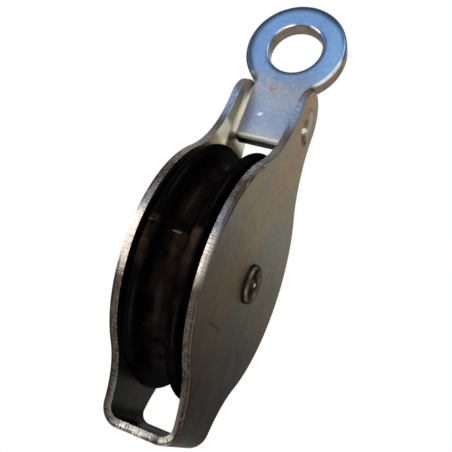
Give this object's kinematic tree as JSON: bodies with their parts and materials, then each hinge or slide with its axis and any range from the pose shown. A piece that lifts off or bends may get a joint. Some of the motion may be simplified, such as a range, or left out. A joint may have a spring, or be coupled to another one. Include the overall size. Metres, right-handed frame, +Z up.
{
  "type": "single rope pulley block",
  "caption": "Rope block with a U-bent steel strap for cheeks, one grooved wheel on a riveted axle, and a fixed eye plate with peened tenons.",
  "frame": {"origin": "centre of the bore of the eye, where the block hangs", "axes": "+Z up through the eye, +X along the axle towards the closed head of the rivet, +Y along the axis of the eye and of the rope's plane"},
  "size_m": [0.0346, 0.079, 0.1513],
  "materials": {
    "plated_strap": "zinc plated, satin, tinted passivation",
    "plated_eye": "zinc plated, satin, blue passivation",
    "plated_rivet": "zinc plated, satin",
    "steel_tube": "plain turned steel",
    "black_wheel": "moulded, glossy black"
  },
  "bodies": {
    "frame": {"strap_frame": "plated_strap", "eye_plate": "plated_eye", "axle_rivet": "plated_rivet", "bearing_tube": "steel_tube"},
    "wheel": {"sheave": "black_wheel"}
  },
  "joints": [
    {"name": "sheave_spin", "type": "hinge", "parent": "frame", "child": "wheel", "pos_m": [0, 0, -0.0815], "axis": [1, 0, 0], "continuous": true}
  ]
}
